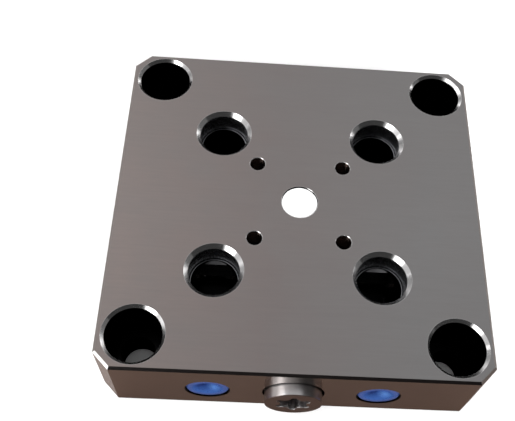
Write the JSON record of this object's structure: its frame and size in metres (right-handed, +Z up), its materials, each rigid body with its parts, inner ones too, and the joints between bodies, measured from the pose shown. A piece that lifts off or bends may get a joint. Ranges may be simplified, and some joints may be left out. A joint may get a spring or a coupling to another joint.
{
  "type": "zero point clamping plate",
  "caption": "Square steel zero-point plate that grips pull studs from above with spindle-driven pins, with counterbored corner holes and a six-lobe drive in its front face.",
  "frame": {"origin": "centre of the plate's underside, on the axis of the centre bore", "axes": "+Z up through the plate towards the clamped work, -Y out of the front face with the drive spindle, +X to the right seen from the front"},
  "size_m": [0.118, 0.1215, 0.027],
  "materials": {
    "hardened_steel": "satin",
    "cover_steel": "satin",
    "screw_steel": "satin",
    "slide_steel": "satin",
    "pin_steel": "satin",
    "spindle_steel": "satin",
    "bush_bronze": "satin",
    "blue_plug": "satin",
    "white_plastic": "matte",
    "black_rubber": "matte"
  },
  "bodies": {
    "base": {"base_plate": "hardened_steel", "cover_plate": "cover_steel", "cover_screws": "screw_steel", "bore_plug_left": "blue_plug", "bore_plug_right": "blue_plug", "centre_cap": "white_plastic", "spindle_bush": "bush_bronze", "pin_seal_front_left": "black_rubber", "pin_seal_front_right": "black_rubber", "pin_seal_rear_left": "black_rubber", "pin_seal_rear_right": "black_rubber"},
    "front_slide": {"front_slide": "slide_steel", "clamping_pin_front_left": "pin_steel", "clamping_pin_front_right": "pin_steel"},
    "rear_yoke": {"rear_yoke": "slide_steel", "clamping_pin_rear_left": "pin_steel", "clamping_pin_rear_right": "pin_steel", "thrust_disc": "bush_bronze"},
    "drive_spindle": {"drive_spindle": "spindle_steel", "spindle_seal": "black_rubber"}
  },
  "joints": [
    {"name": "rear_yoke_slide", "type": "slide", "parent": "base", "child": "rear_yoke", "axis": [0, 1, 0], "range_m": [0, 0.00225]},
    {"name": "front_slide_slide", "type": "slide", "parent": "base", "child": "front_slide", "axis": [0, -1, 0], "range_m": [0, 0.00225]},
    {"name": "spindle_turn", "type": "hinge", "parent": "rear_yoke", "child": "drive_spindle", "pos_m": [0, -0.05, 0.0122], "axis": [0, 1, 0], "range_deg": [0, 1080]}
  ],
  "couplings": [
    {"joint": "front_slide_slide", "follows": "rear_yoke_slide", "ratio": 1},
    {"joint": "spindle_turn", "follows": "rear_yoke_slide", "rad_per_m": 8377.5}
  ]
}
